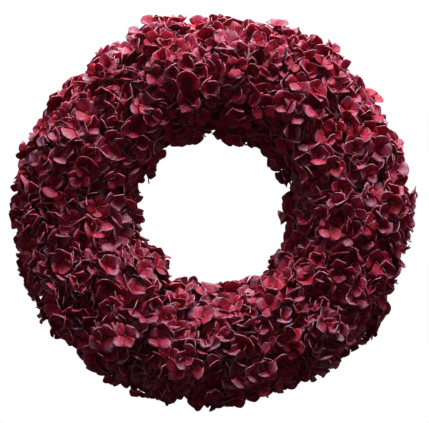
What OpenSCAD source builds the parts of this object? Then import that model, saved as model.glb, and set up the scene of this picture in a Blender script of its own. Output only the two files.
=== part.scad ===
// Hydrangea door wreath: dense flower clusters on stems, pushed into a mossed foam ring
// that sits in a moulded backing tray with a folding D-ring hanger. Millimetres.
//
// The wreath hangs in the XZ plane and faces -Y. The door's surface is the plane Y = 0.
// The origin is on the door, where a nail or hook carries the top of the D-ring's eye.
//
// Parts are drawn lying on their backs: the door is the XY plane, +Y is the top of the
// wreath and Z is the depth in front of the door. hang() then stands them up.

/* [Wreath] */
// Outside diameter over the flowers
wreath_d = 500; // [480:5:540]
// Clear diameter of the hole in the middle
hole_d = 174; // [168:2:190]
// Depth from the door to the front of the flowers
wreath_depth = 130; // [126:1:140]
// Air left between the door and the backs of the flowers
flower_back_gap = 9; // [8:0.5:11]

/* [Flower clusters] */
// Clusters round the outer edge
outer_count = 20; // [16:4:24]
// Clusters over the front
front_count = 14; // [12:1:16]
// Clusters round the hole
inner_count = 10; // [8:1:12]
// Radius of each cluster's domed face
cluster_dome_r = 88; // [82:1:110]
// Gap left between neighbouring clusters
cluster_gap = 1.6; // [1:0.1:3]
// Thickness of a flower stem
stem_d = 4.4; // [3:0.1:5]

/* [Foam ring and moss] */
// Width of the foam ring
foam_w = 57; // [48:1:58]
// Thickness of the moss over the foam
moss_t = 6; // [5:0.5:7]
// Greening pins that hold the moss
pin_count = 10; // [10:1:10]
// Wire thickness of a greening pin
pin_wire_d = 1.5; // [1:0.1:2]

/* [Backing tray] */
// Wall thickness of the tray's rims
rim_t = 3; // [2.5:0.1:4]
// Height of the rims from the door
rim_h = 26; // [24:1:28]
// Thickness of the tray's floor
floor_t = 2.5; // [2:0.1:3]
// Depth of the open channel behind the floor
channel_depth = 6; // [6:0.1:8]
// Ribs across the channel
rib_count = 12; // [6:6:12]

/* [Hanger] */
// Wire thickness of the D-ring
ring_wire_d = 3; // [2.5:0.1:3]
// Inside width of the D-ring
ring_eye_w = 24; // [22:1:26]
// Inside height of the D-ring
ring_eye_h = 20; // [18:1:22]
// Thickness of the folded strap
strap_t = 1; // [0.8:0.1:1]
// Width of the folded strap
strap_w = 16; // [12:1:18]
// Radial clearance of the D-ring's bar in the strap
hinge_clearance = 0.05; // [0.02:0.01:0.1]

/* [Hidden] */
$fn = 72;
EPS = 0.5;                                       // how far a cutting shape runs past what it cuts

ring_r = (wreath_d + hole_d) / 4;                // the ring's own centre line
tube_r = (wreath_d - hole_d) / 4;                // half the thickness of the flower tube
tube_z = wreath_depth - tube_r;                  // depth of the tube's centre

// Foam, moss and tray share one arch: a half circle over straight legs.
foam_half = foam_w / 2;
tray_half = foam_half + rim_t;
moss_half = foam_half + moss_t;
floor_z = channel_depth + floor_t;               // the tray floor's face under the foam
moss_back_z = 12;                                // where the moss stops, short of the tray's back
moss_air = 3.5;                                  // between the moss and the clusters
flower_half = moss_half + moss_air;              // inner limit of the flower clusters

// Rows of clusters: [count, name, first angle, last angle, stem angle, dome angle, radius of the row].
// The angles turn in the tube's section, from 0 outwards to 90 at the front: the dome's about the
// tube's centre, where its face touches the tube, and the others about the arch's centre.
ROW_SPLIT = 57;
ROW_HALF_GAP = 1;
STEM_TILT = 20;
ROWS = [
    [outer_count, "outer", -90, ROW_SPLIT - ROW_HALF_GAP, STEM_TILT, 0, ring_r + 0.75 * tube_r],
    [front_count, "front", ROW_SPLIT + ROW_HALF_GAP, 180 - ROW_SPLIT - ROW_HALF_GAP, 90, 90, ring_r],
    [inner_count, "inner", 180 - ROW_SPLIT + ROW_HALF_GAP, 270, 180 - STEM_TILT, 180, ring_r - 0.6 * tube_r],
];
stem_from = 10;                                  // along the stem, from the arch's centre
stem_to = 56;

// Hanger, placed at the top of the tray
ring_wire_r = ring_wire_d / 2;
barrel_in_r = ring_wire_r + hinge_clearance;
barrel_out_r = barrel_in_r + strap_t;
barrel_air = 0.95;                               // between the tray and the strap's barrel
hinge_y = ring_r + tray_half + barrel_air + barrel_out_r;
hinge_z = channel_depth - barrel_out_r;
ring_bend_r = 3;                                 // the D-ring's two lower corners
eye_r = ring_eye_w / 2;                          // inside radius of the D-ring's round top
hook_y = hinge_y + ring_wire_r + ring_eye_h;     // the nail or hook bears here
strap_len = 40;
lap_short = 1.8;                                 // the strap's second layer ends in the barrel's wall
rivet_r = 1.6;
rivet_head_r = 3;
rivet_head_t = 1.2;
RIVET_YS = [hinge_y - 14, hinge_y - 30];
plate_w = 30;
plate_len = 26;
plate_t = 1.2;
plate_y = (RIVET_YS[0] + RIVET_YS[1]) / 2;
notch_w = 36;                                    // gap in the rear rim where the strap and D-ring pass

// Tray details
rib_t = 2;
rib_h = 3;

// Greening pins
pin_half_w = 6;
pin_leg = 17;
pin_sink = 4.5;                                  // from the moss's face to the bend's centre
PIN_ANGLES = [60, 120];                          // in the tube's section, alternately

function two_digits(n) = n < 10 ? str("0", n) : str(n);
function cluster_name(row, i) = str("cluster_", row[1], "_", two_digits(i + 1));

// Stands the wreath up on the door, with the hook's point at the origin.
module hang() {
    translate([0, 0, -hook_y]) rotate([90, 0, 0]) children();
}

// An arch in section: x is the distance from the wreath's axis and y the depth.
module arch(half, back) {
    translate([ring_r, rim_h]) intersection() {
        circle(r = half);
        translate([-half, 0]) square([2 * half, half + EPS]);
    }
    translate([ring_r - half, back]) square([2 * half, rim_h - back]);
}

// Moves its children to a distance along a line in the section that starts at the arch's centre,
// in the half plane at this angle round the wreath, with Z along that line.
module along_section(turn, angle, distance) {
    rotate([0, 0, turn]) translate([ring_r, 0, rim_h]) rotate([0, 90 - angle, 0])
        translate([0, 0, distance]) children();
}

/* ---- backing tray ---- */

module tray_section() {
    inner = ring_r - tray_half;
    translate([inner, channel_depth]) square([2 * tray_half, floor_t]);
    for (x = [inner, inner + 2 * tray_half - rim_t]) translate([x, 0]) square([rim_t, rim_h]);
}

module tray_rib(turn) {
    rotate([0, 0, turn]) translate([ring_r - foam_half - EPS, -rib_t / 2, channel_depth - rib_h])
        cube([foam_w + 2 * EPS, rib_t, rib_h + EPS]);
}

module backing_tray() {
    color("#2f3a2c") difference() {
        union() {
            rotate_extrude() tray_section();
            for (i = [0 : rib_count - 1]) tray_rib((i + 0.5) * 360 / rib_count);
        }
        // the strap's way out, and the D-ring's way back in, through the rear of the outer rim
        translate([-notch_w / 2, ring_r + foam_half - rim_t, -EPS])
            cube([notch_w, 3 * rim_t, channel_depth + EPS]);
        rivet_shanks(rivet_r);
    }
}

/* ---- foam and moss ---- */

module all_stems() {
    for (row = ROWS) for (i = [0 : row[0] - 1]) stem(row, i);
}

module foam_ring() {
    color("#4d6b3c") difference() {
        rotate_extrude() arch(foam_half, floor_z);
        all_stems();
        // room for the hanger's backing plate and the rivets' closed ends
        translate([-plate_w / 2, plate_y - plate_len / 2, floor_z - EPS])
            cube([plate_w, plate_len, EPS + plate_t + rivet_head_t]);
    }
}

module moss_cover() {
    color("#5b5a2e") difference() {
        rotate_extrude() difference() {
            arch(moss_half, moss_back_z);
            translate([ring_r - tray_half, 0]) square([2 * tray_half, rim_h]);
            translate([ring_r, rim_h]) circle(r = foam_half);
        }
        all_stems();
    }
}

module moss_pin(turn, angle) {
    wire_r = pin_wire_d / 2;
    crown_s = moss_half - pin_sink;
    along_section(turn, angle, crown_s) {
        rotate([90, 0, 90]) rotate_extrude(angle = 180) translate([pin_half_w, 0]) circle(r = wire_r);
        for (side = [-1, 1]) translate([0, side * pin_half_w, -pin_leg]) cylinder(r = wire_r, h = pin_leg);
    }
}

module moss_pins() {
    color("#8d8f8c") for (i = [0 : pin_count - 1])
        moss_pin((i + 0.25) * 360 / pin_count, PIN_ANGLES[i % 2]);
}

/* ---- flower clusters and stems ---- */

module stem(row, i) {
    along_section(i * 360 / row[0], row[4], stem_from) cylinder(r = stem_d / 2, h = stem_to - stem_from);
}

module stems(row) {
    color("#6f6a3a") for (i = [0 : row[0] - 1]) stem(row, i);
}

// The part of the section that a row may fill, clear of the moss, the tray and the next row.
module cluster_section(row) {
    reach = 2 * tube_r;
    STEPS = 3;
    difference() {
        intersection() {
            translate([ring_r, rim_h]) polygon(concat([[0, 0]], [for (k = [0 : STEPS])
                let (a = row[2] + (row[3] - row[2]) * k / STEPS) reach * [cos(a), sin(a)]]));
            translate([ring_r - reach, flower_back_gap]) square([2 * reach, wreath_depth]);
        }
        arch(flower_half, 0);
    }
}

module flower_cluster(r, i) {
    row = ROWS[r];
    pitch = 360 / row[0];
    sweep = pitch - cluster_gap / row[6] * 180 / PI;
    dome = (tube_r - cluster_dome_r) * [cos(row[5]), sin(row[5])];
    color("#8e2344") difference() {
        intersection() {
            rotate([0, 0, i * pitch - sweep / 2]) rotate_extrude(angle = sweep) cluster_section(row);
            rotate([0, 0, i * pitch]) translate([ring_r + dome[0], 0, tube_z + dome[1]])
                sphere(r = cluster_dome_r);
        }
        stem(row, i);
    }
}

/* ---- hanger ---- */

module rivet_shanks(r) {
    shank_from = channel_depth - 2 * strap_t;
    for (y = RIVET_YS) translate([0, y, shank_from]) cylinder(r = r, h = floor_z + plate_t - shank_from);
}

// Steel strap folded round the D-ring's bar and riveted flat through both layers.
module hanger_strap() {
    end_y = hinge_y - strap_len;
    color("#b9b7ae") difference() {
        rotate([90, 0, 90]) linear_extrude(height = strap_w, center = true) difference() {
            union() {
                translate([hinge_y, hinge_z]) circle(r = barrel_out_r);
                translate([end_y, channel_depth - strap_t]) square([strap_len, strap_t]);
                translate([end_y, channel_depth - 2 * strap_t]) square([strap_len - lap_short, strap_t]);
            }
            translate([hinge_y, hinge_z]) circle(r = barrel_in_r);
        }
        rivet_shanks(rivet_r);
    }
}

module hanger_rivets() {
    color("#9a9a98") for (y = RIVET_YS) {
        head_z = channel_depth - 2 * strap_t;
        translate([0, y, head_z - rivet_head_t]) cylinder(r1 = rivet_r, r2 = rivet_head_r, h = rivet_head_t);
        translate([0, y, head_z]) cylinder(r = rivet_r, h = floor_z + plate_t - head_z);
        translate([0, y, floor_z + plate_t]) cylinder(r = rivet_head_r, h = rivet_head_t);
    }
}

module hanger_backing_plate() {
    color("#a7a59c") difference() {
        translate([-plate_w / 2, plate_y - plate_len / 2, floor_z]) cube([plate_w, plate_len, plate_t]);
        rivet_shanks(rivet_r);
    }
}

// One bent wire: the bar in the strap, two tight corners, two arms and a round top.
module hanger_d_ring() {
    arm_x = eye_r + ring_wire_r;
    arm_from = hinge_y + ring_bend_r;
    arm_to = hook_y - eye_r;
    corner_x = arm_x - ring_bend_r;
    color("#c6c3b8") translate([0, 0, hinge_z]) {
        translate([-corner_x, hinge_y, 0]) rotate([0, 90, 0]) cylinder(r = ring_wire_r, h = 2 * corner_x);
        for (side = [-1, 1]) {
            translate([side * corner_x, arm_from, 0]) rotate([0, 0, side > 0 ? -90 : 180])
                rotate_extrude(angle = 90) translate([ring_bend_r, 0]) circle(r = ring_wire_r);
            translate([side * arm_x, arm_from, 0]) rotate([-90, 0, 0])
                cylinder(r = ring_wire_r, h = arm_to - arm_from);
        }
        translate([0, arm_to, 0]) rotate_extrude(angle = 180) translate([arm_x, 0]) circle(r = ring_wire_r);
    }
}

hang() backing_tray();
hang() foam_ring();
hang() moss_cover();
hang() moss_pins();
hang() stems(ROWS[0]);  // stems_outer
hang() stems(ROWS[1]);  // stems_front
hang() stems(ROWS[2]);  // stems_inner
hang() hanger_strap();
hang() hanger_rivets();
hang() hanger_backing_plate();
hang() hanger_d_ring();
for (r = [0 : len(ROWS) - 1]) for (i = [0 : ROWS[r][0] - 1])
    hang() flower_cluster(r, i);
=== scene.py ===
import math

import bpy
import numpy as np
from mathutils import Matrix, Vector


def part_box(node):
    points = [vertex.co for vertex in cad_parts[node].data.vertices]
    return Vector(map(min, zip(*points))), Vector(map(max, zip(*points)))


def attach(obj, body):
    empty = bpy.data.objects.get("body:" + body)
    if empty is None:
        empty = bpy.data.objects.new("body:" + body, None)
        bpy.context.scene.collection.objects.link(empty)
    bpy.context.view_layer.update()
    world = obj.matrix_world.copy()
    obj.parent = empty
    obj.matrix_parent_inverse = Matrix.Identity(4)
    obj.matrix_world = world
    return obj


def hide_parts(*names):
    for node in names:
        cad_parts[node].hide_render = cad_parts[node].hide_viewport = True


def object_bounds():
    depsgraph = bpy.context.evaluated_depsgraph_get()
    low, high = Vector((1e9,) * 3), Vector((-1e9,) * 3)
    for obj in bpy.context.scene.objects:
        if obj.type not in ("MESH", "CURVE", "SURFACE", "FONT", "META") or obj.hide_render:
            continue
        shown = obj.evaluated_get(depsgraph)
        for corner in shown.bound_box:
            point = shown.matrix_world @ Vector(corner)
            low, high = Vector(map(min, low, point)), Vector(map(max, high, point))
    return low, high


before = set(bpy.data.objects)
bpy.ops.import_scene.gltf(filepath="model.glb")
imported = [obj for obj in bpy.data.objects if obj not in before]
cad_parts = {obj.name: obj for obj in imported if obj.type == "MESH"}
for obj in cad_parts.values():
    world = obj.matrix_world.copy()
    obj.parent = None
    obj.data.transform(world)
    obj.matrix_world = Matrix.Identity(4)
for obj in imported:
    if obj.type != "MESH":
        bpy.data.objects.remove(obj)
cad_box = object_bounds()
MM = 0.001

# ---- the wreath's frame, read from the CAD ----

TRAY_LOW, TRAY_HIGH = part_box("backing_tray")
CENTRE = Vector(((TRAY_LOW.x + TRAY_HIGH.x) / 2, 0, (TRAY_LOW.z + TRAY_HIGH.z) / 2))
OUTER_R = cad_box[1].x                                  # over the flowers
HOLE_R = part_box("cluster_inner_01")[0].x                # to the flowers round the hole
RING_R = (OUTER_R + HOLE_R) / 2                         # centre line of the flower tube
TUBE_R = (OUTER_R - HOLE_R) / 2
TUBE_DEPTH = -cad_box[0].y - TUBE_R
TRAY_R = TRAY_HIGH.x                                    # outside of the tray's outer rim
RIM_DEPTH = -TRAY_LOW.y                                 # how far its rims stand off the door
RING_LOW, RING_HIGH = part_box("hanger_d_ring")           # the D-ring at rest

# ---- the flower heads, as the CAD lays them out ----

DOME_R = 88 * MM                                        # radius of a head's face
STEM_TIP = 56 * MM                                      # along a stem, from the middle of the rims
ROWS = {
    # name: heads in the row, then a dome's and a stem's angles in the tube's section, in degrees
    "outer": (20, 0, 20),
    "front": (14, 90, 90),
    "inner": (10, 180, 160),
}
MOST_HEADS = max(count for count, _, _ in ROWS.values())
ROW_EDGE = 48                                           # where the front row meets the others, in degrees


def unit(v):
    """Vectors with the same directions and length 1."""
    return v / np.linalg.norm(v, axis=-1, keepdims=True)


def ring_dir(turn):
    """Unit vectors away from the wreath's axis, at angles round it."""
    return np.stack([np.cos(turn), np.zeros_like(turn), np.sin(turn)], -1)


def tube_dir(turn, angle):
    """Unit vectors away from the tube's centre line: 0 is outwards and 90 degrees is to the front."""
    front = np.array([0.0, -1.0, 0.0])
    return np.cos(angle)[..., None] * ring_dir(turn) + np.sin(angle)[..., None] * front


def tube_centre(turn, radius=RING_R, depth=TUBE_DEPTH):
    """Points on a circle round the wreath's axis, by default on the tube's centre line."""
    return np.array(CENTRE) + radius * ring_dir(turn) + np.array([0.0, -depth, 0.0])


def row_of(angle):
    """0, 1 or 2 for the outer, front or inner row, from an angle in the tube's section."""
    outer_end, inner_start = math.radians(ROW_EDGE), math.radians(180 - ROW_EDGE)
    return np.where(angle < outer_end, 0, np.where(angle > inner_start, 2, 1))


def heads_of(turn, angle):
    """Row and number of the head that holds a place on the tube, and the middle of that head's dome."""
    counts = np.array([c for c, _, _ in ROWS.values()])
    domes = np.radians([a for _, a, _ in ROWS.values()])
    row = row_of(angle)
    pitch = 2 * np.pi / counts[row]
    number = np.round(turn / pitch).astype(int) % counts[row]
    head_turn = number * pitch
    away = tube_dir(head_turn, domes[row])
    return row, number, tube_centre(head_turn) + (TUBE_R - DOME_R) * away


def dome_point(turn, angle):
    """Points on the heads' domed faces, the ways out of the tube and of the head, and each point's head."""
    row, number, middle = heads_of(turn, angle)
    start = tube_centre(turn)
    way = tube_dir(turn, angle)
    off = start - middle
    along = (way * off).sum(-1)
    reach = -along + np.sqrt(along**2 - (off**2).sum(-1) + DOME_R**2)
    point = start + reach[:, None] * way
    out = (point - middle) / DOME_R
    return point, way, unit(way + out), row, number


# ---- where the florets sit ----

LAYERS = [
    # From the inside out. Depth is how far the petals' tips lie under the domes; tone 0 is a middle red,
    # and the deeper layers' lower tones are painted shade in the wreath's depths.
    # seed, spacing, depth and its spread in mm, share of open florets, tilt, tone
    (9, 18, 38, 2, 0.9, 0.2, -2.2),
    (10, 18, 27, 3, 0.8, 0.3, -1.9),
    (11, 16, 12, 3, 0.6, 0.45, -1.0),
    (12, 14.5, 4, 4, 0.65, 0.5, -0.1),
    (16, 16.5, -6, 7, 0.6, 0.5, 0.1),
]
CANDIDATES = 26000                                      # random places tried in each layer
ROW_PROUD = np.array([-0.5, 0, 2]) * MM                 # how far each row's florets stand out of the domes
HEAD_LOBES = 12 * MM                                    # how unevenly deep the heads are pushed in
LOBE_RANGE = (-0.4, 0.6)                                # shares of HEAD_LOBES
LOBE_SEED = 7
OVAL = 3 * MM                                           # how much further the florets reach at the sides
BACK_EDGE = 37                                          # how far round to the back florets go, in degrees
OPEN_LIFT = (10, 34)                                    # how steeply an open floret's petals rise
CLOSED_LIFT = (34, 62)                                  # and a closed one's, both in degrees
FLORET_SIZES = (0.84, 1.14)                             # smallest and largest, 1 being usual
TONE_SPREAD = 0.8                                       # from floret to floret
PETALS = 4


def scatter(spacing, rng):
    """Places at least this far apart all over the heads' faces."""
    turn = rng.uniform(0, 2 * np.pi, CANDIDATES)
    angle = np.radians(rng.uniform(-BACK_EDGE, 180 + BACK_EDGE, CANDIDATES))
    keep = rng.uniform(0, RING_R + TUBE_R, CANDIDATES) < RING_R + TUBE_R * np.cos(angle)
    turn, angle = turn[keep], angle[keep]
    point, way, out, row, number = dome_point(turn, angle)
    kept = np.empty((0, 3))
    chosen = []
    for i, place in enumerate(point):
        if not len(kept) or ((kept - place) ** 2).sum(-1).min() > spacing**2:
            kept = np.vstack([kept, place])
            chosen.append(i)
    return point[chosen], way[chosen], out[chosen], row[chosen], number[chosen]


def head_depths(point, way, row, number):
    """How much deeper each floret sits than its layer says: uneven heads, less at the wreath's sides."""
    lobes = np.random.default_rng(LOBE_SEED).uniform(*LOBE_RANGE, (len(ROWS), MOST_HEADS)) * HEAD_LOBES
    from_centre = point - np.array(CENTRE)
    across, upward = from_centre[:, 0], from_centre[:, 2]
    sideways = (across**2 - upward**2) / (across**2 + upward**2)
    outward = np.maximum((way[:, 0] * across + way[:, 2] * upward) / np.hypot(across, upward), 0)
    return lobes[row, number] - ROW_PROUD[row] - OVAL * sideways * outward


def floret_layer(seed, spacing_mm, depth_mm, spread_mm, open_share, tilt, tone_and_shade):
    """One layer of florets: where each one's tips reach, which way it faces, its head, lift and size."""
    rng = np.random.default_rng(seed)
    point, way, straight, row, number = scatter(spacing_mm * MM, rng)
    n = len(point)
    out = unit(straight + rng.normal(0, tilt, (n, 3)))
    is_open = rng.uniform(0, 1, n) < open_share
    lift = np.radians(np.where(is_open, rng.uniform(*OPEN_LIFT, n), rng.uniform(*CLOSED_LIFT, n)))
    size = rng.uniform(*FLORET_SIZES, n)
    sink = depth_mm * MM + np.abs(rng.normal(0, spread_mm * MM, n)) + head_depths(point, way, row, number)
    return {
        "top": point - sink[:, None] * way,
        "straight": straight,
        "out": out,
        "row": row,
        "number": number,
        "lift": lift,
        "size": size,
        "tone_and_shade": tone_and_shade + rng.normal(0, TONE_SPREAD, n),
        "hue": rng.uniform(0, 1, n),
        "spin": rng.uniform(0, np.pi / 2, n),
    }


def all_florets():
    """Every layer's florets together, as one table of columns."""
    layers = [floret_layer(*layer) for layer in LAYERS]
    return {key: np.concatenate([layer[key] for layer in layers]) for key in layers[0]}


# ---- petals ----

PETAL_SEED = 21
PETAL_LONG = 17 * MM
PETAL_LENGTHS = (0.84, 1.12)                            # times PETAL_LONG
PETAL_WIDTHS = (0.98, 1.22)                             # width over length
PETAL_TIPS = (0.4, 0.85)                                # blunt to pointed
PETAL_WIDEST = (0.48, 0.72)                             # where a petal is widest, along it
PETAL_THICK = 0.5 * MM
RIM_THICK = 0.7 * MM
STEPS = np.array([0.0, 0.14, 0.32, 0.5, 0.68, 0.84, 0.94, 1.0])    # along a petal
COLS = np.array([-1.0, -0.52, 0.0, 0.52, 1.0])                     # across it
TURN = (0, 2 * np.pi)                                   # any phase
CURL_FLAT = 0.55                                        # petals that rise more, in radians, curl outwards


def petal_outline(tip, widest):
    """Half width along the petal: narrow at the base, nearly straight sides, more or less pointed."""
    s = STEPS[None, :]
    opening = (0.05 + 0.95 * s / widest[:, None]) ** 0.85
    closing = (1.01 - s).clip(0) / (1.01 - widest[:, None])
    shape = np.minimum(opening, closing ** tip[:, None])
    return shape / shape.max(1, keepdims=True)


def petal_sizes(rng, size):
    """Lengths of n petals, and their half widths at each step and column, with uneven edges."""
    n = len(size)
    s = STEPS[None, :, None]
    c = COLS[None, None, :]
    long = PETAL_LONG * size * rng.uniform(*PETAL_LENGTHS, n)
    outline = petal_outline(rng.uniform(*PETAL_TIPS, n), rng.uniform(*PETAL_WIDEST, n))
    half = 0.5 * (long * rng.uniform(*PETAL_WIDTHS, n))[:, None] * outline
    uneven = rng.uniform(0.0, 0.08, n)[:, None, None]
    phase = rng.uniform(*TURN, n)[:, None, None]
    return long, half[:, :, None] * (1 + uneven * np.sin(9 * s + 3 * c + phase) * np.abs(c))


def petal_spine(rng, lift, long):
    """How n petals lean at each step, and how far along and up their middle lines have come there."""
    n = len(lift)
    curl = -0.4 * (lift - CURL_FLAT) + rng.normal(0, 0.2, n)
    crease_at = rng.uniform(0.3, 0.8, (n, 1))
    crease = rng.normal(0, 0.22, (n, 1)) / (1 + np.exp(-20 * (STEPS[None, :] - crease_at)))
    lean = lift[:, None] + curl[:, None] * STEPS[None, :] ** 1.4 + crease
    step = np.diff(STEPS, prepend=0)[None, :] * long[:, None]
    return lean, np.cumsum(np.cos(lean) * step, 1), np.cumsum(np.sin(lean) * step, 1)


def petal_relief(rng, half):
    """How far petals stand off their middle lines: cups, keels, waves, and ruffled or rolled edges."""
    s = STEPS[None, :, None]
    c = COLS[None, None, :]

    def each(low, high):
        return rng.uniform(low, high, len(half))[:, None, None]

    # cups, keels, rolls and twists are shares of the half width, and waves and ruffles are in millimetres
    cup = each(-0.1, 0.1) * half * c**2
    keel = np.maximum(each(-0.4, 0.4), 0) * half * np.abs(c)
    wave = each(0.1, 0.9) * MM * s * np.sin(3.2 * c + 2.4 * s + each(*TURN))
    ruffle = each(0.1, 0.9) * MM * np.abs(c) ** 3 * np.sin(7 * s + each(*TURN))
    roll = each(-0.2, 0.12) * half * np.abs(c) ** 5 * s
    twist = each(-0.22, 0.22) * half * c * s
    return cup + keel + wave + ruffle + roll + twist


def petal_points(rng, lift, size):
    """The two faces of n petals, as (n, 2, steps, columns, 3) in petal axes: across, along, up.

    With them come the distances across and along the flat cloth, for its threads.
    """
    s = STEPS[None, :, None]
    c = COLS[None, None, :]
    long, half = petal_sizes(rng, size)
    lean, along, up = petal_spine(rng, lift, long)
    rise = petal_relief(rng, half)
    sway = rng.uniform(-0.12, 0.12, len(lift))[:, None, None] * long[:, None, None] * s**2
    thick = PETAL_THICK + (RIM_THICK - PETAL_THICK) * np.maximum(np.abs(c) ** 4, s**8)
    faces = []
    for side in (1, -1):
        off = rise + side * 0.5 * thick
        x = half * c + sway
        y = along[:, :, None] - np.sin(lean)[:, :, None] * off
        z = up[:, :, None] + np.cos(lean)[:, :, None] * off
        faces.append(np.stack([x, y, z], -1))
    return np.stack(faces, 1), half * c, s * long[:, None, None]


def petal_faces():
    """Quads of one closed petal, and which of them are the strip round its rim."""
    rows, cols = len(STEPS), len(COLS)
    below = rows * cols
    quads = []
    for r in range(rows - 1):
        for c in range(cols - 1):
            a = r * cols + c
            quads.append((a, a + 1, a + cols + 1, a + cols))
            quads.append((below + a, below + a + cols, below + a + cols + 1, below + a + 1))
    base = list(range(cols))
    right = [r * cols + cols - 1 for r in range(1, rows)]
    tip = [(rows - 1) * cols + c for c in range(cols - 2, -1, -1)]
    left = [r * cols for r in range(rows - 2, 0, -1)]
    loop = base + right + tip + left
    for a, b in zip(loop, loop[1:] + loop[:1]):
        quads.append((b, a, below + a, below + b))
    return np.array(quads), np.arange(len(quads)) >= len(quads) - len(loop)


def floret_side(out, spin):
    """An axis across each floret, turned by its spin."""
    helper = np.where(np.abs(out[:, 2:]) < 0.9, [[0.0, 0.0, 1.0]], [[1.0, 0.0, 0.0]])
    side = unit(np.cross(helper, out))
    up = np.cross(out, side)
    return np.cos(spin)[:, None] * side + np.sin(spin)[:, None] * up


DOOR_GAP = 1.5 * MM                                     # petals stay this far off the door
PRESS_SOFT = 5 * MM                                     # and are pressed back from this far before it
RING_ROOM_SIDE = 8 * MM                                 # room for the D-ring to swing, past its box
RING_ROOM_BELOW = 12 * MM
RING_ROOM_ABOVE = 6 * MM


def keep_off_door(points):
    """Presses points gently back so that none passes the door or stands in the D-ring's way."""
    x, z = points[..., 0], points[..., 2]
    beside = np.abs(x) < RING_HIGH.x + RING_ROOM_SIDE
    level = (z > RING_LOW.z - RING_ROOM_BELOW) & (z < RING_HIGH.z + RING_ROOM_ABOVE)
    limit = np.where(beside & level, RING_LOW.y - DOOR_GAP, -DOOR_GAP)
    start = limit - PRESS_SOFT
    past = points[..., 1] - start
    pressed = start + PRESS_SOFT * (1 - np.exp(-np.maximum(past, 0) / PRESS_SOFT))
    points[..., 1] = np.where(past > 0, pressed, points[..., 1])
    return points


PETAL_ROOT = 0.6 * MM                                   # how far from a floret's middle its petals start
PETAL_STAGGER = 0.9 * MM                                # every other petal starts this much higher
LIFT_SPREAD = 0.28                                      # between a floret's petals, in radians
TURN_SPREAD = 0.15                                      # also in radians
PETAL_TONE_SPREAD = 0.5                                 # from petal to petal of one floret
RIM_PALES = (0.25, 0.95)                                # how pale petals' rims are: the cut edge's own colour and painted sheen


def petals_of(florets):
    """Every petal of every floret: points (n, 2, steps, columns, 3), the floret it belongs to, its paints.

    Each floret is sunk until its highest tip is as deep as its layer says, and its place is noted.
    """
    rng = np.random.default_rng(PETAL_SEED)
    n = len(florets["top"])
    owner = np.repeat(np.arange(n), PETALS)
    which = np.tile(np.arange(PETALS), n)
    lift = florets["lift"][owner] + rng.normal(0, LIFT_SPREAD, len(owner))
    points, warp, weft = petal_points(rng, lift, florets["size"][owner])
    turn = florets["spin"][owner] + which * 2 * np.pi / PETALS + rng.normal(0, TURN_SPREAD, len(owner))
    out = florets["out"][owner]
    along = floret_side(out, turn)
    across = np.cross(along, out)
    base = along * PETAL_ROOT + out * ((which % 2) * PETAL_STAGGER)[:, None]
    x, y, z = (points[..., k, None] for k in range(3))

    def spread(v):
        return v[:, None, None, None, :]

    world = spread(base) + x * spread(across) + y * spread(along) + z * spread(out)
    height = (world * spread(florets["straight"][owner])).sum(-1).reshape(n, -1).max(1)
    florets["place"] = florets["top"] - height[:, None] * florets["straight"]
    world += spread(florets["place"][owner])
    tone_and_shade = florets["tone_and_shade"][owner] + rng.normal(0, PETAL_TONE_SPREAD, len(owner))
    paints = {
        "tone_and_shade": tone_and_shade[:, None, None],
        "hue": florets["hue"][owner][:, None, None],
        "pale": rng.uniform(*RIM_PALES, len(owner))[:, None, None],
        "warp": warp,
        "weft": weft,
    }
    return keep_off_door(world), owner, paints


def mesh_object(name, verts, faces, material, smooth=None):
    """A mesh of quads with one material; smooth says which of them are shaded smooth, by default all."""
    me = bpy.data.meshes.new(name)
    me.vertices.add(len(verts))
    me.vertices.foreach_set("co", np.asarray(verts, np.float32).ravel())
    counts = np.full(len(faces), faces.shape[1])
    me.loops.add(faces.size)
    me.loops.foreach_set("vertex_index", faces.ravel().astype(np.int32))
    me.polygons.add(len(faces))
    me.polygons.foreach_set("loop_start", (np.cumsum(counts) - counts).astype(np.int32))
    me.update(calc_edges=True)
    me.validate()
    me.polygons.foreach_set("use_smooth", np.ones(len(faces), bool) if smooth is None else smooth)
    me.materials.append(material)
    ob = bpy.data.objects.new(name, me)
    bpy.context.scene.collection.objects.link(ob)
    return ob


def repeated(quads, copies, points_each):
    """The quads of one shape, repeated for copies whose points follow one another."""
    first = np.arange(copies) * points_each
    return (quads[None] + first[:, None, None]).reshape(-1, 4)


def paint(ob, name, values, domain="POINT"):
    """Stores one number for each vertex or face, for the material to read."""
    layer = ob.data.attributes.new(name, "FLOAT", domain)
    layer.data.foreach_set("value", np.asarray(values, np.float32).ravel())


EDGE_START = 0.7                                        # the tip's pale band starts this far along a petal
EDGE_RAMP = 0.4                                         # and would be full this much further


def head_piece(name, node, points, paints, material):
    """One flower head's petals as a piece that replaces its CAD cluster."""
    n = len(points)
    per = points[0].size // 3
    petal, rim = petal_faces()
    quads = repeated(petal, n, per)
    ob = mesh_object(name, points.reshape(-1, 3), quads, material, np.tile(~rim, n))
    along = STEPS[:, None] + 0 * COLS
    across = COLS + 0 * along
    near_tip = np.where(along >= STEPS[-1], 1.0, np.clip((along - EDGE_START) / EDGE_RAMP, 0, 1))
    own = {"across": across, "along": along, "edge": np.maximum(np.abs(across), near_tip)}
    for key, numbers in (paints | own).items():
        if key != "pale":
            values = np.broadcast_to(numbers, (n, len(STEPS), len(COLS)))
            paint(ob, key, np.stack([values, values], 1))
    paint(ob, "underside", np.broadcast_to(np.array([0.0, 1.0])[None, :, None], (n, 2, per // 2)))
    paint(ob, "rim", paints["pale"][:, :, 0] * rim, "FACE")
    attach(ob, "wreath")
    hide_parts(node)
    return ob


# ---- floret centres and the fine branches that carry the florets ----

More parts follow.
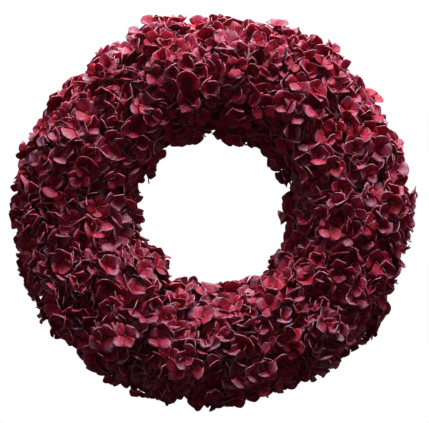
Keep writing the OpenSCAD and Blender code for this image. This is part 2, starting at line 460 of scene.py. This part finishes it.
BEAD_R = 1.1 * MM
BEAD_LIFT = 1.7 * MM                                    # above the floret's middle
BEAD_RINGS = 5
BEAD_SIDES = 8
BEAD_POLE = 0.49 * np.pi                                # the latitude of its first and last ring
BRANCH_R = 0.75 * MM
BRANCH_ROOT_R = 1.5 * BRANCH_R
BRANCH_BEND = 0.35                                      # how far before its floret a branch turns to it
BRANCH_STEPS = 7
BRANCH_SIDES = 6


def bead_shape():
    """A small closed ball of unit radius: its points, ring by ring, and its faces as quads."""
    lat = np.linspace(-BEAD_POLE, BEAD_POLE, BEAD_RINGS)[:, None]
    lon = np.arange(BEAD_SIDES) * 2 * np.pi / BEAD_SIDES
    points = np.stack([np.cos(lat) * np.cos(lon), np.cos(lat) * np.sin(lon), np.sin(lat) + 0 * lon], -1)
    return points.reshape(-1, 3), tube_quads(BEAD_RINGS, BEAD_SIDES)


def tube_quads(rings, sides):
    """Quads of a closed tube of rings, capped at both ends by strips across the last ring."""
    quads = []
    for r in range(rings - 1):
        for k in range(sides):
            a, b = r * sides + k, r * sides + (k + 1) % sides
            quads.append((a, b, b + sides, a + sides))
    for ring, flip in ((0, True), (rings - 1, False)):
        base = ring * sides
        for k in range(sides // 2 - 1):
            quad = (base + k, base + k + 1, base + sides - k - 2, base + sides - k - 1)
            quads.append(quad[::-1] if flip else quad)
    return np.array(quads)


def tubes(paths, radii, sides):
    """Closed round tubes along paths (n, rings, 3), with a radius for each ring."""
    way = unit(np.gradient(paths, axis=1))
    helper = np.where(np.abs(way[..., 2:]) < 0.9, [[[0.0, 0.0, 1.0]]], [[[1.0, 0.0, 0.0]]])
    side = unit(np.cross(helper, way))
    up = np.cross(way, side)
    lon = np.arange(sides) * 2 * np.pi / sides
    spokes = np.cos(lon)[:, None] * side[:, :, None, :] + np.sin(lon)[:, None] * up[:, :, None, :]
    verts = paths[:, :, None, :] + radii[:, :, None, None] * spokes
    return verts, tube_quads(paths.shape[1], sides)


def merged(name, verts, quads, material):
    """One piece from n copies of a shape with the same faces."""
    n = len(verts)
    flat = verts.reshape(n, -1, 3)
    return mesh_object(name, flat.reshape(-1, 3), repeated(quads, n, flat.shape[1]), material)


def bead_piece(name, florets, pick, material):
    """The small beads in the middles of one row's florets."""
    verts, quads = bead_shape()
    place, out = florets["place"][pick], florets["out"][pick]
    side = floret_side(out, np.zeros(len(out)))
    axes = np.stack([side, np.cross(out, side), out], 1)
    size = BEAD_R * florets["size"][pick]
    world = np.einsum("vk,nkx->nvx", verts, axes) * size[:, None, None]
    world += (place + out * BEAD_LIFT)[:, None, :]
    ob = merged(name, keep_off_door(world), quads, material)
    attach(ob, "wreath")
    return ob


def branch_piece(name, florets, pick, row, material):
    """One row's fine branches, each from the tip of its head's stem in a bend to its floret."""
    count, _, lean = ROWS[row]
    turn = florets["number"][pick] * 2 * np.pi / count
    stem_way = tube_dir(turn, np.full_like(turn, math.radians(lean)))
    root = tube_centre(turn, RING_R, RIM_DEPTH) + STEM_TIP * stem_way
    place = florets["place"][pick]
    arrive = unit(florets["out"][pick] + 2 * florets["straight"][pick])
    bend = place - arrive * BRANCH_BEND * np.linalg.norm(place - root, axis=1, keepdims=True)
    t = np.linspace(0, 1, BRANCH_STEPS)[None, :, None]
    root, bend, place = root[:, None], bend[:, None], place[:, None]
    paths = (1 - t) ** 2 * root + 2 * t * (1 - t) * bend + t**2 * place
    radii = (BRANCH_ROOT_R + (BRANCH_R - BRANCH_ROOT_R) * t[..., 0]) * np.ones((len(turn), 1))
    verts, quads = tubes(paths, radii, BRANCH_SIDES)
    ob = merged(name, keep_off_door(verts), quads, material)
    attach(ob, "wreath")
    return ob


# ---- moss ----

MOSS_SEED = 31
MOSS_BACK = -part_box("moss_cover")[1].y
MOSS_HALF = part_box("moss_cover")[1].x - RING_R
MOSS_ROUND = 260                                        # sections round the ring
MOSS_SKIN_STEPS = (22, 5)                               # along the arch and along each leg, outside
MOSS_LINING_STEPS = (12, 3)                             # and inside
MOSS_LUMPS = 0.8 * MM                                   # how uneven its outer face is
FIBRES = 2600
FIBRE_STEPS = 5
FIBRE_SIDES = 4
FIBRE_LENGTHS = (5, 13)                                 # in mm
FIBRE_ROOT_R = 0.42 * MM
FIBRE_TIP_R = 0.17 * MM
FIBRE_DEPTH = 9 * MM                                    # from the mat's back edge to a strand, on average
FIBRES_OUTSIDE = 0.58                                   # share on the ring's outside, not in its hole


def arch_profile(half, back, arc_steps, leg_steps):
    """Points of an arch in section, from its outer back edge: radius from the ring's line, and depth."""
    legs = np.linspace(back, RIM_DEPTH, leg_steps, endpoint=False)
    turn = np.linspace(0, np.pi, arc_steps)
    outer = [(half, d) for d in legs]
    arc = [(half * math.cos(a), RIM_DEPTH + half * math.sin(a)) for a in turn]
    return np.array(outer + arc + [(-half, d) for d in legs[::-1]])


def moss_shell(rng):
    """The moss mat: the CAD shell's section swept round, with its outer face lumpy."""
    skin = arch_profile(MOSS_HALF, MOSS_BACK, *MOSS_SKIN_STEPS)
    lining = arch_profile(TRAY_R - RING_R, MOSS_BACK, *MOSS_LINING_STEPS)[::-1]
    profile = np.vstack([skin, lining])
    turn = np.arange(MOSS_ROUND) * 2 * np.pi / MOSS_ROUND
    lumps = rng.normal(0, MOSS_LUMPS, (MOSS_ROUND, len(skin)))
    middle = np.array([0.0, RIM_DEPTH])
    swell = np.zeros((MOSS_ROUND, len(profile), 2))
    swell[:, : len(skin)] = lumps[..., None] * unit(skin - middle)[None]
    section = profile[None] + swell
    verts = np.array(CENTRE) + (RING_R + section[..., :1]) * ring_dir(turn)[:, None, :]
    verts[..., 1] = -section[..., 1]
    sides = len(profile)
    quads = []
    for r in range(MOSS_ROUND):
        here, after = r * sides, (r + 1) % MOSS_ROUND * sides
        for k in range(sides):
            following = (k + 1) % sides
            quads.append((here + k, here + following, after + following, after + k))
    return verts.reshape(-1, 3), np.array(quads)


def moss_fibres(rng):
    """Thin curling strands that stand off the mat, most of them where the back of the wreath shows them."""
    turn = rng.uniform(0, 2 * np.pi, FIBRES)
    outside = np.where(rng.uniform(0, 1, FIBRES) < FIBRES_OUTSIDE, 1, -1)
    depth = MOSS_BACK + rng.exponential(FIBRE_DEPTH, FIBRES)
    up = np.clip((depth - RIM_DEPTH) / MOSS_HALF, 0, 1)
    reach = MOSS_HALF * np.sqrt(1 - up**2) * outside
    start = tube_centre(turn, 0, 0) + (RING_R + reach)[:, None] * ring_dir(turn)
    start[:, 1] = -depth
    away = outside[:, None] * ring_dir(turn)
    drift = unit(rng.normal(0, 1, (FIBRES, 3)) + 0.5 * away)
    curl = unit(rng.normal(0, 1, (FIBRES, 3)))
    t = np.linspace(0, 1, FIBRE_STEPS)[None, :, None]
    long = rng.uniform(*FIBRE_LENGTHS, FIBRES)[:, None, None] * MM
    paths = start[:, None] + long * (t * drift[:, None] + 0.5 * t**2 * curl[:, None])
    radii = (FIBRE_ROOT_R + (FIBRE_TIP_R - FIBRE_ROOT_R) * t[..., 0]) * np.ones((FIBRES, 1))
    return tubes(keep_off_door(paths), radii, FIBRE_SIDES)


def moss_piece(material):
    """The mat and its strands as one piece that replaces the CAD's smooth shell."""
    rng = np.random.default_rng(MOSS_SEED)
    shell, shell_quads = moss_shell(rng)
    strands, strand_quads = moss_fibres(rng)
    flat = strands.reshape(FIBRES, -1, 3)
    quads = repeated(strand_quads, FIBRES, flat.shape[1])
    verts = np.vstack([shell, flat.reshape(-1, 3)])
    ob = mesh_object("moss_mat", verts, np.vstack([shell_quads, quads + len(shell)]), material)
    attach(ob, "wreath")
    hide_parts("moss_cover")
    return ob


# ---- materials ----


class Nodes:
    """Short names for building one material's node tree."""

    def __init__(self, name):
        self.mat = bpy.data.materials.new(name)
        self.mat.use_nodes = True
        self.tree = self.mat.node_tree
        self.shader = self.tree.nodes["Principled BSDF"]

    def add(self, kind, **values):
        """A new node. Each value sets a socket, or a property where the node has no such socket."""
        node = self.tree.nodes.new(kind)
        for key, value in values.items():
            if key in node.inputs:
                node.inputs[key].default_value = value
            else:
                setattr(node, key, value)
        return node

    def link(self, source, target):
        self.tree.links.new(source, target)

    def attribute(self, name):
        return self.add("ShaderNodeAttribute", attribute_name=name).outputs["Fac"]

    def math(self, operation, a, b=0.0, c=0.0, clamp=False):
        node = self.add("ShaderNodeMath", operation=operation, use_clamp=clamp)
        for socket, value in zip(node.inputs, (a, b, c)):
            if isinstance(value, (int, float)):
                socket.default_value = value
            else:
                self.link(value, socket)
        return node.outputs[0]

    def smooth(self, value, low, high):
        """0 below low, 1 above high, smooth between."""
        node = self.add("ShaderNodeMapRange", interpolation_type="SMOOTHSTEP")
        self.link(value, node.inputs["Value"])
        node.inputs["From Min"].default_value = low
        node.inputs["From Max"].default_value = high
        return node.outputs["Result"]

    def noise(self, scale, detail=4.0, rough=0.5, vector=None):
        node = self.add("ShaderNodeTexNoise", Scale=scale, Detail=detail, Roughness=rough)
        self.link(vector or self.place(), node.inputs["Vector"])
        return node.outputs["Fac"]

    def place(self):
        return self.add("ShaderNodeTexCoord").outputs["Object"]

    def upward(self):
        """How much the surface faces up: 1 straight up, -1 straight down."""
        facing = self.add("ShaderNodeNewGeometry").outputs["Normal"]
        axes = self.add("ShaderNodeSeparateXYZ")
        self.link(facing, axes.inputs[0])
        return axes.outputs["Z"]

    def ramp(self, value, stops):
        """A colour looked up in a list of places from 0 to 1 and their colours."""
        node = self.add("ShaderNodeValToRGB")
        self.link(value, node.inputs["Fac"])
        marks = node.color_ramp.elements
        while len(marks) < len(stops):
            marks.new(0.5)
        for mark, (at, colour) in zip(marks, stops):
            mark.position = at
            mark.color = (*colour, 1)
        return node.outputs["Color"]

    def mix(self, amount, a, b, blend="MIX"):
        """Colour a with this amount of colour b over it."""
        node = self.add("ShaderNodeMix", data_type="RGBA", blend_type=blend)
        for socket, value in ((node.inputs[0], amount), (node.inputs[6], a), (node.inputs[7], b)):
            if isinstance(value, (int, float)):
                socket.default_value = value
            elif isinstance(value, tuple):
                socket.default_value = (*value, 1)
            else:
                self.link(value, socket)
        return node.outputs[2]

    def bump(self, height, strength, distance):
        node = self.add("ShaderNodeBump", Strength=strength, Distance=distance)
        self.link(height, node.inputs["Height"])
        self.link(node.outputs["Normal"], self.shader.inputs["Normal"])

    def colour(self, socket):
        self.link(socket, self.shader.inputs["Base Color"])

    def roughness(self, value, low, high):
        """Roughness from low to high as the value goes from 0 to 1."""
        node = self.add("ShaderNodeMapRange")
        self.link(value, node.inputs["Value"])
        node.inputs["To Min"].default_value = low
        node.inputs["To Max"].default_value = high
        self.link(node.outputs["Result"], self.shader.inputs["Roughness"])

    def set(self, **values):
        """Numbers and colours on the shader's own sockets."""
        for name, value in values.items():
            self.shader.inputs[name.replace("_", " ")].default_value = value


THREAD = 0.45 * MM                                      # spacing of the cloth's threads
MIDDLE = 0.52                                           # along a petal, where its colour is its own tone
TONE_LEVEL = (0.14, 0.46)                               # slope and middle of the ramp's level for a tone
MOTTLE = 0.5                                            # levels that the mottling, the tips and the painted light on up-facing sides add
# paler tips and darker bases: partly the cloth's own dye, partly painted shade where the bases sit deep in
# the florets
TIP_PALER = 0.8
# painted light: petals are paler where they face up toward the lamps above
TOP_PAINTED_LIGHT = 0.22
WINE = [
    # from deep red, through wine, to dusty rose
    (0.0, (0.14, 0.001, 0.006)),
    (0.3, (0.45, 0.004, 0.023)),
    (0.6, (0.52, 0.036, 0.105)),
    (0.85, (0.44, 0.15, 0.25)),
    (1.0, (0.44, 0.3, 0.39)),
]
WARM_TINT = (0.85, 0.35, 0.3)
VEIN_RED = (0.06, 0.001, 0.008)
SLUB_LIGHT = (0.55, 0.085, 0.18)
SLUB_DARK = (0.15, 0.001, 0.008)
THREAD_LIGHT = (0.52, 0.15, 0.22)
UNDERSIDE = (0.4, 0.045, 0.09)
# the rims' pink: partly the cut edge's own colour, partly painted sheen along edges that catch the light
RIM_PINK_SHEEN = (0.75, 0.46, 0.51)


def petal_level(n, along):
    """Where a place on a petal lies on the WINE ramp: paler to the tip, partly dye and partly painted shade
    at the bases, and paler where it faces up, as painted light.
    """
    mottle = n.math("SUBTRACT", n.noise(160, 3), 0.5)
    level = n.math("MULTIPLY_ADD", n.attribute("tone_and_shade"), *TONE_LEVEL)
    level = n.math("MULTIPLY_ADD", mottle, MOTTLE, level)
    level = n.math("MULTIPLY_ADD", n.math("SUBTRACT", along, MIDDLE), TIP_PALER, level)
    return n.math("MULTIPLY_ADD", n.upward(), TOP_PAINTED_LIGHT, level, clamp=True)


def petal_veins(n, along):
    """1 on faint veins that fan out from the base, 0 between them."""
    fan = n.math("DIVIDE", n.attribute("across"), n.math("ADD", along, 0.35))
    waves = n.math("ABSOLUTE", n.math("SINE", n.math("MULTIPLY", fan, 9.0)))
    return n.math("SUBTRACT", 1.0, n.smooth(waves, 0.0, 0.35))


def petal_weave(n):
    """Plain weave from the distances along and across the flat cloth, from -1 to 1."""
    warp, weft = (n.math("MULTIPLY", n.attribute(way), math.pi / THREAD) for way in ("warp", "weft"))
    return n.math("MULTIPLY", n.math("SINE", warp), n.math("SINE", weft))


def pale_rims_and_sheen(n):
    """How pale the cut edge is, partly its own paler colour and partly painted sheen where edges catch the
    light: each petal's own rim and a faint band beside it, frayed in places.
    """
    band = n.math("MULTIPLY", n.smooth(n.attribute("edge"), 0.9, 1.0), 0.15)
    frayed = n.smooth(n.noise(110, 2), 0.32, 0.5)
    return n.math("MULTIPLY", n.math("MAXIMUM", band, n.attribute("rim")), frayed)


def petal_material():
    """Burgundy cloth: deep red bases and dusty rose tips, partly dye and partly painted shade; deeper
    florets darker and up-facing sides paler, as painted shade and light; faint veins, slubs, threads, and
    pale rims, partly the cut edge and partly painted sheen.
    """
    n = Nodes("petal_cloth")
    along = n.attribute("along")
    vein = petal_veins(n, along)
    weave = petal_weave(n)
    slubs = n.noise(560, 3, 0.65)
    cloth = n.ramp(petal_level(n, along), WINE)
    cloth = n.mix(n.math("MULTIPLY", n.attribute("hue"), 0.35), cloth, WARM_TINT, "SOFT_LIGHT")
    cloth = n.mix(n.math("MULTIPLY", vein, 0.2), cloth, VEIN_RED)
    cloth = n.mix(n.math("MULTIPLY", n.smooth(slubs, 0.49, 0.6), 0.6), cloth, SLUB_LIGHT)
    cloth = n.mix(n.math("MULTIPLY", n.smooth(slubs, 0.51, 0.4), 0.6), cloth, SLUB_DARK)
    cloth = n.mix(n.math("MULTIPLY", n.smooth(weave, 0.0, 1.0), 0.1), cloth, THREAD_LIGHT)
    cloth = n.mix(n.math("MULTIPLY", n.attribute("underside"), 0.15), cloth, UNDERSIDE)
    n.colour(n.mix(pale_rims_and_sheen(n), cloth, RIM_PINK_SHEEN))
    n.roughness(slubs, 0.38, 0.62)
    height = n.math("ADD", n.math("MULTIPLY", weave, 0.35), n.math("MULTIPLY", vein, -0.6))
    n.bump(n.math("ADD", height, n.math("MULTIPLY", slubs, 0.6)), 0.5, 0.2 * MM)
    n.set(Sheen_Weight=0.04, Sheen_Roughness=0.35, Sheen_Tint=(0.95, 0.4, 0.5, 1))
    n.set(Specular_IOR_Level=0.45, Specular_Tint=(1.0, 0.88, 0.94, 1))
    n.set(Subsurface_Weight=0.35, Subsurface_Radius=(1.0, 0.1, 0.16), Subsurface_Scale=1.8 * MM)
    return n.mat


def branch_material():
    """Fine plastic branches, wine brown like the cloth they carry."""
    n = Nodes("branch_plastic")
    patches = n.noise(120, 3)
    n.colour(n.ramp(patches, [(0.3, (0.03, 0.012, 0.008)), (0.7, (0.09, 0.04, 0.018))]))
    n.roughness(patches, 0.45, 0.7)
    n.bump(n.noise(800, 2), 0.3, 0.15 * MM)
    return n.mat


def bead_material():
    """Small hard beads, mottled from wine red to pale pink."""
    n = Nodes("floret_centre")
    grain = n.noise(900, 3)
    n.colour(n.ramp(grain, [(0.35, (0.22, 0.05, 0.06)), (0.65, (0.75, 0.5, 0.48))]))
    n.roughness(grain, 0.25, 0.45)
    n.bump(grain, 0.4, 0.2 * MM)
    return n.mat


def stem_material():
    """Plastic-coated wire wound with tape: brownish green, matt, in patches."""
    n = Nodes("stem_tape")
    patches = n.noise(90, 4)
    n.colour(n.ramp(patches, [(0.3, (0.04, 0.03, 0.011)), (0.7, (0.11, 0.08, 0.03))]))
    n.roughness(patches, 0.55, 0.8)
    n.bump(n.noise(700, 2), 0.35, 0.3 * MM)
    return n.mat


DRY_MOSS = [(0.3, (0.035, 0.03, 0.01)), (0.5, (0.11, 0.095, 0.03)), (0.72, (0.2, 0.15, 0.06))]
GREEN_MOSS = (0.04, 0.05, 0.012)


def moss_material():
    """Dried sheet moss: brown in patches, with greener fibres."""
    n = Nodes("sheet_moss")
    fibres = n.noise(900, 3, 0.7)
    base = n.ramp(n.noise(60, 5, 0.6), DRY_MOSS)
    n.colour(n.mix(n.math("MULTIPLY", fibres, 0.5), base, GREEN_MOSS))
    n.roughness(fibres, 0.75, 0.95)
    n.bump(fibres, 0.8, 0.8 * MM)
    return n.mat


def foam_material():
    """Green floral foam with fine open cells."""
    n = Nodes("floral_foam")
    cells = n.noise(1500, 2, 0.7)
    n.colour(n.ramp(cells, [(0.35, (0.05, 0.1, 0.04)), (0.65, (0.15, 0.24, 0.11))]))
    n.roughness(cells, 0.85, 0.98)
    n.bump(cells, 0.7, 0.4 * MM)
    return n.mat


def tray_material():
    """Moulded plastic: fine matt texture, cloudy flow marks and dust in patches."""
    n = Nodes("tray_plastic")
    clouds = n.noise(14, 4)
    grain = n.noise(1600, 2)
    dust = n.smooth(n.noise(45, 5, 0.65), 0.52, 0.78)
    base = n.ramp(clouds, [(0.3, (0.026, 0.045, 0.023)), (0.7, (0.05, 0.078, 0.04))])
    n.colour(n.mix(n.math("MULTIPLY", dust, 0.28), base, (0.16, 0.17, 0.13)))
    n.roughness(n.math("ADD", n.math("MULTIPLY", dust, 0.5), n.math("MULTIPLY", grain, 0.5)), 0.42, 0.75)
    n.bump(grain, 0.25, 0.15 * MM)
    return n.mat


METALS = {
    # name: dark and light colour, scale of the lines, their stretch, lowest and highest roughness
    "zinc_strip": ((0.5, 0.49, 0.45), (0.74, 0.73, 0.68), 700, (1, 1, 0.06), (0.3, 0.5)),
    "drawn_wire": ((0.56, 0.56, 0.53), (0.8, 0.79, 0.75), 500, (1, 1, 1), (0.25, 0.42)),
    "rivet_metal": ((0.42, 0.42, 0.43), (0.66, 0.66, 0.66), 900, (1, 1, 1), (0.25, 0.45)),
    "pin_wire": ((0.22, 0.22, 0.21), (0.45, 0.45, 0.43), 600, (1, 1, 1), (0.3, 0.5)),
}


def metal_material(name):
    """Plated metal with fine drawn or brushed lines, stretched along one axis, and dull patches."""
    dark, light, scale, stretch, rough = METALS[name]
    n = Nodes(name)
    placed = n.add("ShaderNodeMapping")
    n.link(n.place(), placed.inputs["Vector"])
    placed.inputs["Scale"].default_value = stretch
    lines = n.noise(scale, 3, 0.6, placed.outputs["Vector"])
    patches = n.noise(120, 4)
    both = n.math("ADD", n.math("MULTIPLY", lines, 0.5), n.math("MULTIPLY", patches, 0.5))
    n.colour(n.ramp(both, [(0.3, dark), (0.7, light)]))
    n.roughness(both, *rough)
    n.bump(lines, 0.15, 0.1 * MM)
    n.set(Metallic=0.6)
    return n.mat


def finish_cad_nodes():
    """Gives the CAD nodes that stay in the picture their materials."""
    zinc = metal_material("zinc_strip")
    stem = stem_material()
    finishes = {
        "stems_outer": stem,
        "stems_front": stem,
        "stems_inner": stem,
        "backing_tray": tray_material(),
        "foam_ring": foam_material(),
        "moss_pins": metal_material("pin_wire"),
        "hanger_strap": zinc,
        "hanger_backing_plate": zinc,
        "hanger_rivets": metal_material("rivet_metal"),
        "hanger_d_ring": metal_material("drawn_wire"),
    }
    for name, material in finishes.items():
        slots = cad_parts[name].data.materials
        slots.clear()
        slots.append(material)


# ---- the pieces ----


def flower_heads(material, bead, branch):
    """Every head's petals, and each row's beads and branches."""
    florets = all_florets()
    points, owner, paints = petals_of(florets)
    row_of_petal, head_of_petal = florets["row"][owner], florets["number"][owner]
    for r, (row, (count, _, _)) in enumerate(ROWS.items()):
        for i in range(count):
            pick = (row_of_petal == r) & (head_of_petal == i)
            label = f"{row}_{i + 1:02d}"
            own_paints = {key: values[pick] for key, values in paints.items()}
            head_piece(f"head_{label}", f"cluster_{label}", points[pick], own_paints, material)
        pick = florets["row"] == r
        bead_piece(f"floret_centres_{row}", florets, pick, bead)
        branch_piece(f"branches_{row}", florets, pick, row, branch)


# ---- the studio ----

LENS = 118.5
VIEW_DISTANCE = 1.8
FLOOR_DROP = 1.4                                        # under the wreath's centre
FLOOR_R = 7.2
FLOOR_SIDES = 96
FLOOR_FADE = (0.15, 0.85)                               # where it turns white, in shares of its radius
SKY_LIGHT = 0.01                                        # the world's strength as a light
VIEW_GAMMA = 0.84
LIGHTS = [
    # name, offset from the wreath's centre, size, power, whether reflections show it
    ("key", (0.3, -0.75, 1.8), 0.8, 55, True),
    ("fill", (0.1, -2.4, -0.2), 1.6, 4.0, False),
    ("right", (2.2, -0.6, 0.6), 1.2, 11, False),
    ("left", (-2.2, -0.6, 0.6), 1.2, 12, False),
    ("back", (0.2, 0.8, 1.6), 0.8, 30, True),
    ("rear", (0.5, 2.2, 0.6), 1.6, 7, True),
    ("bounce", (0, -0.8, -2.0), 1.5, 14, False),
]


def make_camera():
    """Square on to the wreath's centre."""
    data = bpy.data.cameras.new("camera")
    data.lens = LENS
    data.sensor_width = 36
    data.clip_end = 50
    cam = bpy.data.objects.new("camera", data)
    bpy.context.scene.collection.objects.link(cam)
    cam.location = CENTRE + Vector((0, -VIEW_DISTANCE, 0))
    cam.rotation_euler = (math.pi / 2, 0, 0)
    bpy.context.scene.camera = cam


def make_light(name, offset, size, power, glossy):
    """A square area light at an offset from the wreath's centre, aimed at it."""
    data = bpy.data.lights.new(name, "AREA")
    data.shape = "SQUARE"
    data.size = size
    data.energy = power
    lamp = bpy.data.objects.new(name, data)
    bpy.context.scene.collection.objects.link(lamp)
    lamp.visible_glossy = glossy
    lamp.location = CENTRE + Vector(offset)
    lamp.rotation_mode = "QUATERNION"
    lamp.rotation_quaternion = (-Vector(offset)).to_track_quat("-Z", "Y")


def make_world():
    """White where the camera sees it, and much dimmer as a light."""
    world = bpy.data.worlds.new("studio")
    bpy.context.scene.world = world
    world.use_nodes = True
    tree = world.node_tree
    back = tree.nodes["Background"]
    back.inputs["Color"].default_value = (1, 1, 1, 1)
    path = tree.nodes.new("ShaderNodeLightPath")
    level = tree.nodes.new("ShaderNodeMapRange")
    level.inputs["To Min"].default_value = SKY_LIGHT
    level.inputs["To Max"].default_value = 1.0
    tree.links.new(path.outputs["Is Camera Ray"], level.inputs["Value"])
    tree.links.new(level.outputs["Result"], back.inputs["Strength"])


def floor_material():
    """Pale paint that grows as white as the background towards the floor's edge."""
    n = Nodes("floor_paint")
    apart = n.add("ShaderNodeVectorMath", operation="LENGTH")
    n.link(n.place(), apart.inputs[0])
    fade = n.smooth(apart.outputs["Value"], FLOOR_FADE[0] * FLOOR_R, FLOOR_FADE[1] * FLOOR_R)
    speckle = n.ramp(n.noise(60, 3), [(0.3, (0.5, 0.5, 0.49)), (0.7, (0.54, 0.54, 0.53))])
    n.colour(n.mix(fade, speckle, (0.0, 0.0, 0.0)))
    n.link(n.mix(fade, (0.42, 0.42, 0.415), (1.0, 1.0, 1.0)), n.shader.inputs["Emission Color"])
    n.set(Roughness=0.7, Emission_Strength=1.0, Specular_IOR_Level=0.0)
    return n.mat


def make_floor():
    """A round pale floor that sends no light back up to the wreath."""
    turn = np.arange(FLOOR_SIDES) * 2 * np.pi / FLOOR_SIDES
    ring = np.stack([FLOOR_R * np.cos(turn), FLOOR_R * np.sin(turn), 0 * turn], -1)
    verts = np.vstack([ring, np.zeros(3)])
    k = np.arange(0, FLOOR_SIDES, 2)
    sectors = np.stack([np.full_like(k, FLOOR_SIDES), k, k + 1, (k + 2) % FLOOR_SIDES], -1)
    floor = mesh_object("floor", verts, sectors, floor_material())
    floor.location = (CENTRE.x, 0, CENTRE.z - FLOOR_DROP)
    floor.visible_diffuse = False
    floor.visible_glossy = False


bpy.context.scene.view_settings.view_transform = "Standard"
bpy.context.scene.view_settings.gamma = VIEW_GAMMA
make_camera()
make_world()
for light in LIGHTS:
    make_light(*light)
make_floor()

flower_heads(petal_material(), bead_material(), branch_material())
moss_piece(moss_material())
finish_cad_nodes()
